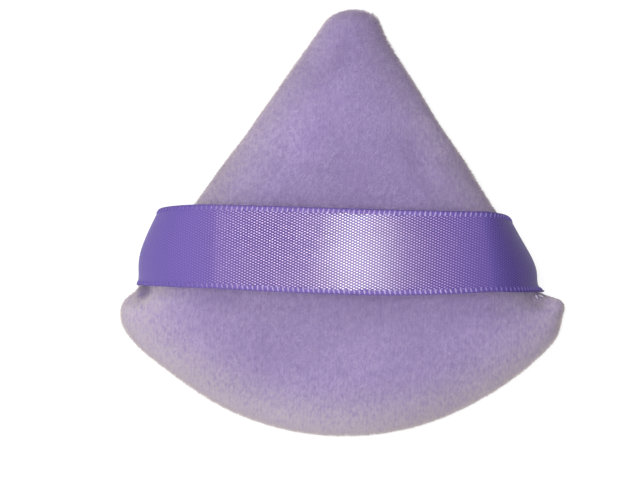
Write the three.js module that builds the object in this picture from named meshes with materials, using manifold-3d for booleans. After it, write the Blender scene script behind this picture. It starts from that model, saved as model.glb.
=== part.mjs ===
// A triangular powder puff with rounded corners and a bowed base.
// Two velour panels are sewn together round the edge, turned right side out and filled
// with a foam core. A satin ribbon crosses the back and is caught in both side seams,
// which makes the strap that the fingers go under.
// The puff lies on its front panel, the side that touches the face. X runs across it,
// Y towards its apex and Z up, and the origin is under its middle. Lengths are in mm.

import * as THREE from "three";
import { mergeVertices } from "three/addons/utils/BufferGeometryUtils.js";
import Module from "manifold-3d";

const wasm = await Module();
wasm.setup();

// Outline, seen from above
const puffWidth = 78;
const puffLength = 75.6;
const apexRadius = 6.1;
const cornerRadius = 6.4;
const cornerHeight = 21.8; // a lower corner's centre above the lowest point of the base
const sideDrawIn = 0.6; // how far the filling pulls each side in at mid length

// Section
const crownRise = 7.5; // from the seam to the top of either panel
const restFlatDepth = 0.5; // how deep the front panel is pressed flat by what it lies on
const edgeFullness = 3.2; // how boldly the section swells next to the seam, 2 is oval
const middleShare = 0.385; // place of the fullest point, as a share of the length
const fabricThickness = 1.2; // knitted ground with its short pile
const seamAllowance = 5.2;
const fitGap = 0.3; // room left between pieces that touch

// Finger strap
const strapWidth = 15;
const strapThickness = 0.4;
const strapLowEdge = 25.1; // its lower edge above the lowest point of the base
const strapSkewShare = 0.007; // rise of the right end over the left, per length
const fingerGap = 6; // from the crown to the underside of the strap
const strapLevelHalf = 22; // half the stretch that runs nearly level
const strapArch = 0.6; // rise of that stretch at its middle
const strapLeadRise = 1.9; // climb over the stretch that stands out from the seam
// Each end of the ribbon lies along the slanted seam, so it is caught a little narrower
// than it crosses the back. The pairs are for its lower and its upper edge.
const leftTurnSpare = [0, 0]; // level stretch beyond its half
const rightTurnSpare = [4, 1.5];
const leftTurnRise = [0.6, 0]; // how far the edge climbs before it turns down
const rightTurnRise = [1.2, 0];
const leftSeamRise = [0.5, -1.7]; // how far it has climbed where the seam holds it
const rightSeamRise = [1.3, -1.4];
const leftLead = [1.6, 9.2]; // how far the curve reaches out from the seam
const rightLead = [1.2, 1.8];
const leftShoulder = 7.5; // how softly it bends down
const rightShoulder = 5;

// Stitching
const threadThickness = 0.3;
const threadGap = 0.1; // room left round a thread
const stitchPitch = 4;
const handStitchPitch = 5;
const seamInset = 2.6; // machine seam, in from the edge
const tackInset = 4.1; // second row, across the ends of the strap
const closingStart = 49; // hand-closed stretch of the right side, above the lowest point
const closingLength = 20; // measured along the seam
const tackMargin = 1.6; // from the ribbon's edge to the first stitch of a tack

// Steps of the faceted surfaces, counts
const baseSteps = 7;
const cornerSteps = 7;
const sideSteps = 6;
const apexSteps = 4;
const fineShare = 10; // the curve that stitches follow has this many times the steps
const shoulderSteps = 12;
const levelSteps = 10;
const acrossSteps = 5;
const threadSides = 5;

// Insets of the rings of a panel's skin, as shares of the seam allowance, and of the
// rings inside them, as shares of the way out from the middle
const edgeRingShares = [1, 0.62, 0.3, 0.09];
const innerRingShares = [0.8, 0.54, 0.26];

// Sizes worked out from those above
const baseY = -puffLength / 2;
const seamZ = crownRise - restFlatDepth;
const middle = new THREE.Vector2(0, baseY + middleShare * puffLength);
const corner = new THREE.Vector2(puffWidth / 2 - cornerRadius, baseY + cornerHeight);
const apex = new THREE.Vector2(0, puffLength / 2 - apexRadius);
const threadRadius = threadThickness / 2;
const allowanceTop = fitGap / 2 + fabricThickness;
const threadRise = allowanceTop + threadGap + threadRadius; // seam plane to a stitch
const threadStep = threadThickness + threadGap; // between two threads that link
const grooveRise = threadRise + threadRadius + fitGap; // half height of the foam's groove
const strapRise = crownRise + fingerGap + strapThickness / 2;

// Outline

// Points of an arc with their outward normals. bend is 1 for a stretch that bulges out
// and -1 for one that is drawn in.
function arc(centre, radius, from, to, steps, bend) {
  return Array.from({ length: steps }, (_, i) => {
    const angle = from + ((to - from) * i) / steps;
    const normal = new THREE.Vector2(Math.cos(angle), Math.sin(angle));
    const point = normal.clone().multiplyScalar(radius).add(centre);
    return { point, normal: normal.multiplyScalar(bend) };
  });
}

// The right half, from the lowest point of the base to the tip of the apex. The base arc
// runs into the corner, and the corner and the apex run into the drawn-in side, without
// a kink.
function halfOutline(share) {
  const rise = cornerHeight - cornerRadius;
  const baseRadius =
    (corner.x ** 2 + cornerHeight ** 2 - cornerRadius ** 2) / (2 * rise);
  const baseCentre = new THREE.Vector2(0, baseY + baseRadius);
  const along = apex.clone().sub(corner);
  const span = along.length();
  along.divideScalar(span);
  const sideRadius = span ** 2 / (8 * sideDrawIn);
  const toCorner = sideRadius + cornerRadius;
  const toApex = sideRadius + apexRadius;
  const foot = (toCorner ** 2 - toApex ** 2 + span ** 2) / (2 * span);
  const out = new THREE.Vector2(along.y, -along.x);
  const sideCentre = corner
    .clone()
    .addScaledVector(along, foot)
    .addScaledVector(out, Math.sqrt(toCorner ** 2 - foot ** 2));
  const angle = (from, to) => Math.atan2(to.y - from.y, to.x - from.x);
  const cornerFrom = angle(baseCentre, corner);
  const cornerTo = angle(corner, sideCentre);
  const apexFrom = angle(apex, sideCentre);
  const sideFrom = angle(sideCentre, corner) + 2 * Math.PI;
  const sideTo = angle(sideCentre, apex) + 2 * Math.PI;
  const turn = Math.PI / 2;
  return [
    ...arc(baseCentre, baseRadius, -turn, cornerFrom, baseSteps * share, 1),
    ...arc(corner, cornerRadius, cornerFrom, cornerTo, cornerSteps * share, 1),
    ...arc(sideCentre, sideRadius, sideFrom, sideTo, sideSteps * share, -1),
    ...arc(apex, apexRadius, apexFrom, turn, apexSteps * share, 1),
    ...arc(apex, apexRadius, turn, turn, 1, 1),
  ];
}

function mirrored({ point, normal }) {
  return {
    point: new THREE.Vector2(-point.x, point.y),
    normal: new THREE.Vector2(-normal.x, normal.y),
  };
}

// The whole outline, anticlockwise from the lowest point of the base.
function outline(share) {
  const half = halfOutline(share);
  return [...half, ...half.slice(1, -1).reverse().map(mirrored)];
}

const edge = outline(1);
const fineHalf = halfOutline(fineShare);
const fineEdge = outline(fineShare);

// How far a point is from the edge, softened so that all of the edge counts. It is the
// distance near a straight edge, and less in a corner and in the middle.
function softInset(x, y) {
  let pull = 0;
  for (let i = 0; i < edge.length; i++) {
    const a = edge[i].point;
    const b = edge[(i + 1) % edge.length].point;
    const length = a.distanceTo(b);
    const from = ((a.x - x) * (b.x - a.x) + (a.y - y) * (b.y - a.y)) / length;
    const to = from + length;
    const off = ((a.x - x) * (b.y - a.y) - (a.y - y) * (b.x - a.x)) / length;
    const near = Math.hypot(from, off);
    const far = Math.hypot(to, off);
    const hair = length / 1e5;
    if (Math.abs(off) > hair) pull += (to / far - from / near) / off ** 2;
    else if (from * to > 0) pull += Math.abs(1 / from ** 2 - 1 / to ** 2) / 2;
    else return 0;
  }
  return Math.sqrt(2 / pull);
}

const fullInset = softInset(middle.x, middle.y);

// Height of the puff's skin above the seam.
function rise(x, y) {
  const share = Math.min(1, softInset(x, y) / fullInset);
  return crownRise * Math.sqrt(1 - (1 - share) ** edgeFullness);
}

// Rings of points that a skin is made of, from the middle out to the edge
function ringAtInset(inset) {
  return edge.map(({ point, normal }) => point.clone().addScaledVector(normal, -inset));
}

function ringInside(share) {
  return ringAtInset(seamAllowance).map((p) => p.sub(middle).multiplyScalar(share).add(middle));
}

const planRings = [
  ...innerRingShares.toReversed().map(ringInside),
  ...edgeRingShares.map((share) => ringAtInset(share * seamAllowance)),
];

// The skin, moved in by a depth along its own normals and held to a highest rise.
function skinPoint({ x, y }, depth, highest) {
  const step = fitGap / 10;
  const height = rise(x, y);
  if (height >= highest) return new THREE.Vector3(x, y, highest - depth);
  const normal = new THREE.Vector3(
    (rise(x - step, y) - rise(x + step, y)) / (2 * step),
    (rise(x, y - step) - rise(x, y + step)) / (2 * step),
    1,
  ).normalize();
  const point = new THREE.Vector3(x, y, height).addScaledVector(normal, -depth);
  point.z = Math.min(point.z, highest - depth);
  return point;
}

function skinRings(depth, highest, rings = planRings) {
  return rings.map((ring) => ring.map((p) => skinPoint(p, depth, highest)));
}

function levelRing(inset, height) {
  return ringAtInset(inset).map(({ x, y }) => new THREE.Vector3(x, y, height));
}

// Closed surface through a list of rings of equal length. Each end is closed by a point,
// or by a flat fan where no point is given.
function ringSurface(rings, firstPole, lastPole) {
  const count = rings[0].length;
  const points = [firstPole, ...rings.flat(), lastPole];
  const last = points.length - 1;
  const faces = [];
  const at = (ring, i) => 1 + ring * count + (i % count);
  for (let i = 0; i < count; i++) {
    faces.push(0, at(0, i), at(0, i + 1));
    faces.push(last, at(rings.length - 1, i + 1), at(rings.length - 1, i));
    for (let ring = 0; ring < rings.length - 1; ring++) {
      faces.push(at(ring, i), at(ring + 1, i), at(ring + 1, i + 1));
      faces.push(at(ring, i), at(ring + 1, i + 1), at(ring, i + 1));
    }
  }
  return new THREE.BufferGeometry().setFromPoints(points).setIndex(faces);
}

// Manifold solids and back
function solidOf(geometry) {
  const bare = geometry.clone();
  bare.deleteAttribute("normal");
  bare.deleteAttribute("uv");
  const merged = mergeVertices(bare);
  const made = new wasm.Mesh({
    numProp: 3,
    vertProperties: merged.attributes.position.array,
    triVerts: new Uint32Array(merged.index.array),
  });
  return new wasm.Manifold(made);
}

function geometryOf(solid) {
  const { vertProperties, triVerts } = solid.getMesh();
  return new THREE.BufferGeometry()
    .setAttribute("position", new THREE.BufferAttribute(vertProperties, 3))
    .setIndex(new THREE.BufferAttribute(triVerts, 1));
}

// Velour panels

// A dished panel above the seam plane: its pile side, the fold at the edge, the seam
// allowance turned in, and the ground side.
function panelSurface(highest) {
  const pole = skinPoint(middle, 0, highest);
  const innerPole = skinPoint(middle, fabricThickness, highest);
  const groundRings = planRings.slice(0, -1);
  const rings = [
    ...skinRings(0, highest),
    levelRing(0, fitGap / 2),
    levelRing(seamAllowance, fitGap / 2),
    levelRing(seamAllowance, allowanceTop),
    levelRing(fabricThickness + fitGap / 2, allowanceTop),
    ...skinRings(fabricThickness, highest, groundRings).reverse(),
  ];
  return ringSurface(rings, pole, innerPole);
}

// Foam core: fills both panels, with a groove round its edge for the seam allowances.
function foamSurface() {
  const depth = fabricThickness + fitGap;
  const rings = planRings.slice(0, -1);
  const groove = seamAllowance + fitGap;
  const lip = seamInset + fitGap;
  const upper = skinRings(depth, crownRise, rings);
  const lower = skinRings(depth, seamZ, rings).map((ring) =>
    ring.map(({ x, y, z }) => new THREE.Vector3(x, y, -z)),
  );
  const top = skinPoint(middle, depth, crownRise);
  const bottom = skinPoint(middle, depth, seamZ).multiply(new THREE.Vector3(1, 1, -1));
  return ringSurface(
    [
      ...upper,
      levelRing(lip, grooveRise),
      levelRing(groove, grooveRise),
      levelRing(groove, -grooveRise),
      levelRing(lip, -grooveRise),
      ...lower.reverse(),
    ],
    top,
    bottom,
  );
}

// Finger strap

// Where the right half of the edge, moved in by an inset, is at a height y.
function edgeX(y, inset) {
  const spot = ({ point, normal }) => point.clone().addScaledVector(normal, -inset);
  const last = fineHalf.length - 1;
  const next = fineHalf.findIndex((p) => spot(p).y > y);
  const above = next < 1 ? last : next;
  const a = spot(fineHalf[above - 1]);
  const b = spot(fineHalf[above]);
  return a.x + ((b.x - a.x) * (y - a.y)) / (b.y - a.y);
}

// The ribbon's ends
const leftEnd = {
  side: -1,
  spare: leftTurnSpare,
  turnRise: leftTurnRise,
  seamRise: leftSeamRise,
  lead: leftLead,
  shoulder: leftShoulder,
};
const rightEnd = {
  side: 1,
  spare: rightTurnSpare,
  turnRise: rightTurnRise,
  seamRise: rightSeamRise,
  lead: rightLead,
  shoulder: rightShoulder,
};

// Height of a line of the ribbon at the seam.
function strapSeamY(across, { side, seamRise }) {
  const low = baseY + strapLowEdge + across * strapWidth;
  const skew = (side * strapSkewShare * puffWidth) / 2;
  return low + skew + THREE.MathUtils.lerp(...seamRise, across);
}

// A line of the ribbon's middle surface, from the end of its tail inside the seam to the
// middle of the strap. across is 0 at the lower edge and 1 at the upper.
function strapHalf(across, end, room) {
  const low = baseY + strapLowEdge + across * strapWidth;
  const spread = (pair) => THREE.MathUtils.lerp(...pair, across);
  const turnRise = spread(end.turnRise);
  const turnX = strapLevelHalf + spread(end.spare);
  const levelSpot = (share) =>
    new THREE.Vector3(
      share * turnX,
      low + end.side * strapSkewShare * share * turnX + turnRise * share ** 2,
      strapRise - strapArch * share ** 2,
    );
  const seamY = strapSeamY(across, end);
  const exit = new THREE.Vector3(edgeX(seamY, 0), seamY, 0);
  const tail = new THREE.Vector3(edgeX(seamY, seamAllowance + room), seamY, 0);
  const turn = levelSpot(1);
  const reach = end.lead[0] + (end.lead[1] - end.lead[0]) * (1 - (1 - across) ** 2);
  const fall = (2 * strapArch * end.shoulder) / turnX;
  const climb = new THREE.CubicBezierCurve3(
    exit,
    new THREE.Vector3(exit.x + reach, THREE.MathUtils.lerp(seamY, turn.y, 0.25), strapLeadRise),
    new THREE.Vector3(turn.x + end.shoulder, turn.y, turn.z - fall),
    turn,
  );
  const halfSteps = levelSteps / 2;
  const level = Array.from({ length: halfSteps }, (_, i) => levelSpot(1 - (i + 1) / halfSteps));
  const halfway = tail.clone().lerp(exit, 0.5);
  return [tail, halfway, ...climb.getPoints(shoulderSteps), ...level].map((p) =>
    p.setX(end.side * p.x),
  );
}

// A whole line of the ribbon's middle surface, from its left tail to its right tail.
function strapLine(across, room) {
  const right = strapHalf(across, rightEnd, room);
  return [...strapHalf(across, leftEnd, room), ...right.slice(0, -1).reverse()];
}

// The ribbon, with room added all round it for the slots that it passes through.
function strapSurface(room) {
  const spare = room / strapWidth;
  const lines = Array.from({ length: acrossSteps + 1 }, (_, i) =>
    strapLine(THREE.MathUtils.lerp(-spare, 1 + spare, i / acrossSteps), room),
  );
  const stations = lines[0].length;
  const half = strapThickness / 2 + room;
  const face = (sign) =>
    lines.map((line, row) =>
      line.map((p, i) => {
        const before = line[Math.max(0, i - 1)];
        const after = line[Math.min(stations - 1, i + 1)];
        const below = lines[Math.max(0, row - 1)][i];
        const above = lines[Math.min(acrossSteps, row + 1)][i];
        const normal = after.clone().sub(before).cross(above.clone().sub(below)).normalize();
        return p.clone().addScaledVector(normal, sign * half);
      }),
    );
  const top = face(1);
  const under = face(-1);
  const loops = Array.from({ length: stations }, (_, i) => [
    ...top.map((line) => line[i]),
    ...under.map((line) => line[i]).reverse(),
  ]);
  const centre = (loop) =>
    loop.reduce((sum, p) => sum.add(p), new THREE.Vector3()).divideScalar(loop.length);
  return ringSurface(loops, centre(loops[0]), centre(loops.at(-1)));
}

// Stitching

// The line that a row of stitches follows, with the length walked to each of its points.
function stitchLine(inset) {
  const spots = fineEdge.map(({ point, normal }) => ({
    point: point.clone().addScaledVector(normal, -inset),
    normal,
  }));
  const lengths = [0];
  spots.forEach(({ point }, i) => {
    const next = spots[(i + 1) % spots.length].point;
    lengths.push(lengths[i] + point.distanceTo(next));
  });
  return { spots, lengths, whole: lengths.at(-1) };
}

// The length at which a line first climbs past a height, which is on the right side.
function lengthAtHeight({ spots, lengths }, y) {
  return lengths[spots.findIndex(({ point }) => point.y > y)];
}

// Evenly spaced needle holes on a line, between two lengths.
function needleHoles({ spots, lengths, whole }, from, to, pitch) {
  const gaps = Math.max(1, Math.round((to - from) / pitch));
  return Array.from({ length: gaps + 1 }, (_, k) => {
    const length = (from + ((to - from) * k) / gaps + whole) % whole;
    const i = Math.max(0, lengths.findIndex((l) => l > length) - 1);
    const share = (length - lengths[i]) / (lengths[i + 1] - lengths[i]);
    const a = spots[i];
    const b = spots[(i + 1) % spots.length];
    const centre = a.point.clone().lerp(b.point, share);
    const out = a.normal.clone().lerp(b.normal, share).normalize();
    return {
      centre: new THREE.Vector3(centre.x, centre.y, 0),
      out: new THREE.Vector3(out.x, out.y, 0),
      along: new THREE.Vector3(-out.y, out.x, 0),
    };
  });
}

// A place in or over a needle hole: along the row, outwards and up.
function atHole({ centre, along, out }, onward, outward, height) {
  const spot = centre.clone().addScaledVector(along, onward).addScaledVector(out, outward);
  spot.z = height;
  return spot;
}

// The upper thread of a lockstitch: it lies on the allowances, and in each hole goes
// down one side of the lower thread and up the other.
function needleThread(hole) {
  const low = -threadStep / 2;
  return [
    atHole(hole, 0, -threadStep, threadRise),
    atHole(hole, 0, -threadStep, low),
    atHole(hole, 0, threadStep, low),
    atHole(hole, 0, threadStep, threadRise),
  ];
}

// The lower thread: it lies under the allowances and rises through the upper one's loop.
function bobbinThread(hole) {
  const high = threadStep / 2;
  return [
    atHole(hole, -threadStep, 0, -threadRise),
    atHole(hole, -threadStep, 0, high),
    atHole(hole, threadStep, 0, high),
    atHole(hole, threadStep, 0, -threadRise),
  ];
}

// A single thread, sewn by hand, that goes down one hole and up the next.
function runningThread(hole, i) {
  const from = i % 2 ? -threadRise : threadRise;
  return [atHole(hole, 0, 0, from), atHole(hole, 0, 0, -from)];
}

// Round thread through a list of places, closed at both ends.
function threadSurface(places) {
  const side = new THREE.Vector3(0, 0, 1).cross(places[1].clone().sub(places[0]));
  if (side.length() < threadGap) side.set(1, 0, 0);
  const rings = places.map((place, i) => {
    const before = places[Math.max(0, i - 1)];
    const after = places[Math.min(places.length - 1, i + 1)];
    const run = after.clone().sub(before).normalize();
    side.addScaledVector(run, -side.dot(run)).normalize();
    const up = run.clone().cross(side);
    return Array.from({ length: threadSides }, (_, k) => {
      const angle = (-2 * Math.PI * k) / threadSides;
      return place
        .clone()
        .addScaledVector(side, threadRadius * Math.cos(angle))
        .addScaledVector(up, threadRadius * Math.sin(angle));
    });
  });
  return ringSurface(rings, places[0], places.at(-1));
}

// Room that a row's holes need through the layers.
function holeRoom({ centre, out }) {
  const side = 2 * (threadStep + threadRadius + threadGap);
  const box = new THREE.BoxGeometry(side, side, 2 * grooveRise);
  box.rotateZ(Math.atan2(out.y, out.x));
  box.translate(centre.x, centre.y, 0);
  return solidOf(box);
}

// The rows. The machine seam runs round the edge from one end of the hand-closed stretch
// to the other, and a tack crosses each end of the strap inside it.
const seamLine = stitchLine(seamInset);
const closingFrom = lengthAtHeight(seamLine, baseY + closingStart);
const closingTo = closingFrom + closingLength;
const seamFrom = closingTo + stitchPitch;
const seamTo = closingFrom - stitchPitch + seamLine.whole;
const seamHoles = needleHoles(seamLine, seamFrom, seamTo, stitchPitch);
const closingHoles = needleHoles(seamLine, closingFrom, closingTo, handStitchPitch);

const tackLine = stitchLine(tackInset);
const tackEnds = (end) => [
  lengthAtHeight(tackLine, strapSeamY(0, end) + tackMargin),
  lengthAtHeight(tackLine, strapSeamY(1, end) - tackMargin),
];
const [rightFrom, rightTo] = tackEnds(rightEnd);
const [leftFrom, leftTo] = tackEnds(leftEnd).map((length) => tackLine.whole - length);
const rightTackHoles = needleHoles(tackLine, rightFrom, rightTo, stitchPitch);
const leftTackHoles = needleHoles(tackLine, leftTo, leftFrom, stitchPitch);

// Cut the panels for the strap and the needle holes, and the strap for the holes
const holes = [seamHoles, closingHoles, rightTackHoles, leftTackHoles]
  .flatMap((rowHoles) => rowHoles.map(holeRoom))
  .reduce((all, hole) => all.add(hole));
const slots = holes.add(solidOf(strapSurface(fitGap)));
const upperPanel = solidOf(panelSurface(crownRise)).subtract(slots);
const turnedSlots = slots.mirror([0, 0, 1]);
const lowerPanel = solidOf(panelSurface(seamZ)).subtract(turnedSlots).mirror([0, 0, 1]);
const strap = solidOf(strapSurface(0)).subtract(holes);

// Materials
const velour = (name) =>
  new THREE.MeshStandardMaterial({ name, color: "#9d8bb9", roughness: 0.95, metalness: 0 });
const satin = new THREE.MeshStandardMaterial({
  name: "satin",
  color: "#7a62ae",
  roughness: 0.35,
  metalness: 0,
});
const foam = new THREE.MeshStandardMaterial({
  name: "foam",
  color: "#e9e4d8",
  roughness: 1,
  metalness: 0,
});
const threadFinish = new THREE.MeshStandardMaterial({
  name: "thread",
  color: "#8a77ad",
  roughness: 0.7,
  metalness: 0,
});

// Assembly, on the plane that the puff lies on
const puff = new THREE.Group();
puff.name = "powder_puff";

function add(name, geometry, material) {
  const piece = new THREE.Mesh(geometry, material);
  piece.name = name;
  piece.position.z = seamZ;
  puff.add(piece);
}

add("front_panel", geometryOf(lowerPanel), velour("front velour"));
add("back_panel", geometryOf(upperPanel), velour("back velour"));
add("foam_core", foamSurface(), foam);
add("finger_strap", geometryOf(strap), satin);
const needlePlaces = seamHoles.toReversed().flatMap(needleThread);
add("seam_needle_thread", threadSurface(needlePlaces), threadFinish);
add("seam_bobbin_thread", threadSurface(seamHoles.flatMap(bobbinThread)), threadFinish);
add("closing_thread", threadSurface(closingHoles.flatMap(runningThread)), threadFinish);
add("strap_tack_left", threadSurface(leftTackHoles.flatMap(runningThread)), threadFinish);
add("strap_tack_right", threadSurface(rightTackHoles.flatMap(runningThread)), threadFinish);

export default puff;
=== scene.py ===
"""Models a triangular powder puff: velour panels with their pile, a foam core and a ribbon finger strap.

The puff lies on its front panel. X runs across it, Y towards its apex and Z up.
"""

import functools
import math

import bmesh
import bpy
import numpy as np
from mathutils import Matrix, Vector


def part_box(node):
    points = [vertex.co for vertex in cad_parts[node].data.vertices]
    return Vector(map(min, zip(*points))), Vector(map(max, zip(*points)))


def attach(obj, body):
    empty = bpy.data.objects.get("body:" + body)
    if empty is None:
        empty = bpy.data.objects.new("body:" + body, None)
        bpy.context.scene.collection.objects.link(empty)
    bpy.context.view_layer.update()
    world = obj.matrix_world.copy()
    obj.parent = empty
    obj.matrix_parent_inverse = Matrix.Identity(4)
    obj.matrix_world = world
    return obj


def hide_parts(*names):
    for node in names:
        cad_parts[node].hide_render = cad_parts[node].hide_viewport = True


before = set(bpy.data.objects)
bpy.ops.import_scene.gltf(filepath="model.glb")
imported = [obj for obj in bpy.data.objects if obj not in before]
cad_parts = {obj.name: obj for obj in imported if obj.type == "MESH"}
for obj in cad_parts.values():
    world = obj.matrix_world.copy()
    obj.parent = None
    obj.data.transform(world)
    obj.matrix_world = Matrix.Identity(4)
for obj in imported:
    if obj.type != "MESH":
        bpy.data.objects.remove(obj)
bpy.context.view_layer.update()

bl_info = {
    "name": "Triangular powder puff",
    "version": (1, 0, 0),
    "blender": (4, 5, 0),
    "location": "3D View > Sidebar > Puff",
    "description": "Models a velour powder puff with a satin ribbon finger strap",
    "category": "Object",
}

MM = 0.001
BODY = "root"
TACKS = ("strap_tack_left", "strap_tack_right")
THREADS = ("seam_needle_thread", "seam_bobbin_thread", "closing_thread", *TACKS)
UP = np.array((0.0, 0.0, 1.0))
CLEARANCE = 0.1 * MM  # kept between a panel's inner face and its allowance
PILE_RELIEF = 0.7  # how much of a tuft's own roundness its shading keeps

panel_low, panel_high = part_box("back_panel")
front_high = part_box("front_panel")[1]
WIDTH = panel_high.x - panel_low.x
LENGTH = panel_high.y - panel_low.y
SEAM_GAP = panel_low.z - front_high.z
SEAM_Z = (panel_low.z + front_high.z) / 2
CROWN = panel_high.z - SEAM_Z

# where the seam leaves its even line, in mm: side, how far in, height above the base, reach
SEAM_SHIFTS = (
    (-1, 1.5, 26.2, 3.0),  # drawn in by the strap
    (1, 2.0, 28.6, 2.4),
    (1, -1.3, 24.6, 2.0),  # the lobe beside it swells out
    (-1, -1.1, 16.5, 5.0),
    (1, -0.3, 16.5, 5.0),
    (-1, -0.35, 2.0, 7.0),  # the base sags a little
    (1, -0.25, 0.0, 4.0),
    (1, -0.35, 50.0, 16.0),
    (1, -0.7, 74.0, 2.0),  # the apex is fuller on the right
)
# hollows of the back panel, in mm and degrees: x, y, half length, half width, turn, depth
BACK_DENTS = (
    (-34.5, -13.5, 2.8, 1.1, 20, 1.6),  # where the strap's corners go in
    (34.4, -12.4, 2.4, 0.9, -12, 1.2),
    (32.6, -14.2, 2.6, 0.7, -50, 0.3),
    (-32.0, -15.6, 3.4, 0.8, 62, 0.3),
    (17.2, 14.0, 1.9, 0.35, 38, 0.22),  # the hand-sewn stitches draw on the skin
    (18.4, 12.4, 1.9, 0.35, 38, 0.22),
    (19.5, 10.8, 1.7, 0.35, 38, 0.2),
    (-8.0, 31.6, 4.0, 2.2, 58, 0.35),  # the apex's flattened left shoulder
)
# painted shade is centred here
TUCK_SHADE_PLACE = (-35.2 * MM, -13.2 * MM, SEAM_Z + 1.9 * MM)  # the tuck at the ribbon's left corner
THREAD_END_SPOTS = ((34.2, -12.15), (35.0, -11.95))  # x and y in mm, at the ribbon's right corner
# the ribbon's run at its lower and its upper edge, in mm: heights above the base at the middle, and for
# each side the height at the seam, the height at the turn, half of the level stretch and the turn's softness
STRAP_MIDDLE = (25.15, 40.0)
STRAP_RUNS = {
    -1: ((25.35, 38.2), (25.5, 39.95), (22.0, 22.0), (7.5, 7.5)),
    1: ((26.65, 38.9), (26.5, 40.2), (26.0, 23.5), (6.5, 4.5)),
}
# how far each end stands out past the seam, in mm: everywhere, more towards the upper edge, more low down
STRAP_REACH = {-1: (1.6, 7.6, 0.0), 1: (1.7, 0.1, 0.9)}


def linear(code):
    """The linear colour of an sRGB hex code."""
    parts = [int(code[i : i + 2], 16) / 255 for i in (1, 3, 5)]
    return tuple(p / 12.92 if p <= 0.04045 else ((p + 0.055) / 1.055) ** 2.4 for p in parts)


def length_prop(name, description, default):
    return bpy.props.FloatProperty(
        name=name, description=description, default=default, min=0, precision=5, unit="LENGTH"
    )


def colour_prop(name, description, code):
    return bpy.props.FloatVectorProperty(
        name=name, description=description, default=linear(code), size=3, min=0, max=1, subtype="COLOR"
    )


class PuffPadSizes(bpy.types.PropertyGroup):
    """Sizes of the pad"""

    width: length_prop("Width", "Across the two base corners", WIDTH)
    length: length_prop("Length", "From the base to the apex", LENGTH)
    apex_radius: length_prop("Apex radius", "Rounding of the apex", 6.1 * MM)
    corner_radius: length_prop("Corner radius", "Rounding of the base corners", 6.4 * MM)
    corner_height: length_prop("Corner height", "Centre of a base corner above the base", 21.8 * MM)
    draw_in: length_prop("Draw-in", "How far the filling pulls each side in", 0.6 * MM)
    crown: length_prop("Crown", "From the seam to the top of the back panel", CROWN)
    fullness: bpy.props.FloatProperty(
        name="Edge fullness", description="How boldly the section swells next to the seam", default=3.2, min=2
    )
    middle_share: bpy.props.FloatProperty(
        name="Middle", description="Fullest point, as a share of the length", default=0.385, subtype="FACTOR"
    )
    fabric: length_prop("Fabric thickness", "Knitted ground with its pile", 1.2 * MM)
    allowance: length_prop("Seam allowance", "Width turned in along the seam", 5.2 * MM)


class PuffPileSizes(bpy.types.PropertyGroup):
    """Sizes of the velour's pile"""

    height: length_prop("Pile height", "Length of the pile that stands out of the ground", 0.8 * MM)
    tuft: length_prop("Tuft width", "Width of a tuft at its root", 0.2 * MM)
    wale: length_prop("Wale spacing", "Distance between two columns of the knitted ground", 0.62 * MM)
    tufts: bpy.props.IntProperty(
        name="Tufts", description="Tufts in each third of a panel's pile", default=44000
    )
    lean: bpy.props.FloatProperty(
        name="Lean", description="How far the nap lies over, as a share of upright", default=0.8, min=0
    )


class PuffStrapSizes(bpy.types.PropertyGroup):
    """Sizes of the ribbon strap"""

    width: length_prop("Width", "Standard satin ribbon width", 15 * MM)
    thickness: length_prop("Thickness", "Thickness of the ribbon", 0.26 * MM)
    finger_gap: length_prop("Finger gap", "From the crown to the strap", 6 * MM)
    fleck_run: length_prop("Fleck run", "From one satin fleck to the next, along the ribbon", 0.46 * MM)
    fleck_rise: length_prop("Fleck rise", "From one satin fleck to the next, up across the ribbon", 0.29 * MM)
    fleck_fall: length_prop(
        "Fleck fall", "From one satin fleck to the next, down across the ribbon", 0.197 * MM
    )
    loop_pitch: length_prop("Selvedge pitch", "Distance between two selvedge loops", 0.875 * MM)


class PuffColours(bpy.types.PropertyGroup):
    """Colours of the finishes"""

    ground: colour_prop("Ground", "Knitted ground between the pile", "#9a88bb")
    pile_deep: colour_prop("Pile, deep", "Pile where the nap lies away", "#9785ba")
    pile_light: colour_prop("Pile, light", "Pile where the nap lies over", "#b09dce")
    # painted sheen: the paler pile colour painted in near the seam
    pile_painted_sheen: colour_prop("Pile, rim", "Pile that parts near the seam", "#c3b7c6")
    satin: colour_prop("Satin", "Floats of the ribbon", "#7f6cc4")
    # painted shade: a darker copy of the satin, used for the weave's dips, the ribbon's right end and the
    # loops near its ends
    satin_shaded: colour_prop("Satin, deep", "Where the floats dip under", "#483b78")
    selvedge: colour_prop("Selvedge", "Loops of the weft along the ribbon's edges", "#9a82c5")
    foam: colour_prop("Foam", "Polyurethane foam", "#e9e4d8")
    thread: colour_prop("Thread", "Polyester sewing thread", "#8a77ad")
    thread_end: colour_prop("Thread end", "Frayed ends of the thread", "#cfc6da")
    floor: colour_prop("Floor", "Floor under the puff", "#acacac")


# Small helpers


def new_object(name, data):
    """A new object in the scene, at the origin."""
    obj = bpy.data.objects.new(name, data)
    bpy.context.collection.objects.link(obj)
    return obj


def mesh_object(name, verts, faces, material, smooth=True):
    """A new object from points in metres and lists of corners, facing outwards."""
    mesh = bpy.data.meshes.new(name)
    mesh.from_pydata([tuple(v) for v in verts], [], faces)
    mesh.update()
    bm = bmesh.new()
    bm.from_mesh(mesh)
    bmesh.ops.recalc_face_normals(bm, faces=bm.faces)
    bm.to_mesh(mesh)
    bm.free()
    mesh.shade_smooth() if smooth else mesh.shade_flat()
    if material:
        mesh.materials.append(material)
    return new_object(name, mesh)


def remove_mesh(obj):
    mesh = obj.data
    bpy.data.objects.remove(obj)
    bpy.data.meshes.remove(mesh)


def read_vectors(items, key):
    """One vector of each item, in rows."""
    values = np.empty(len(items) * 3, dtype=np.float32)
    items.foreach_get(key, values)
    return values.reshape(-1, 3)


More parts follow.
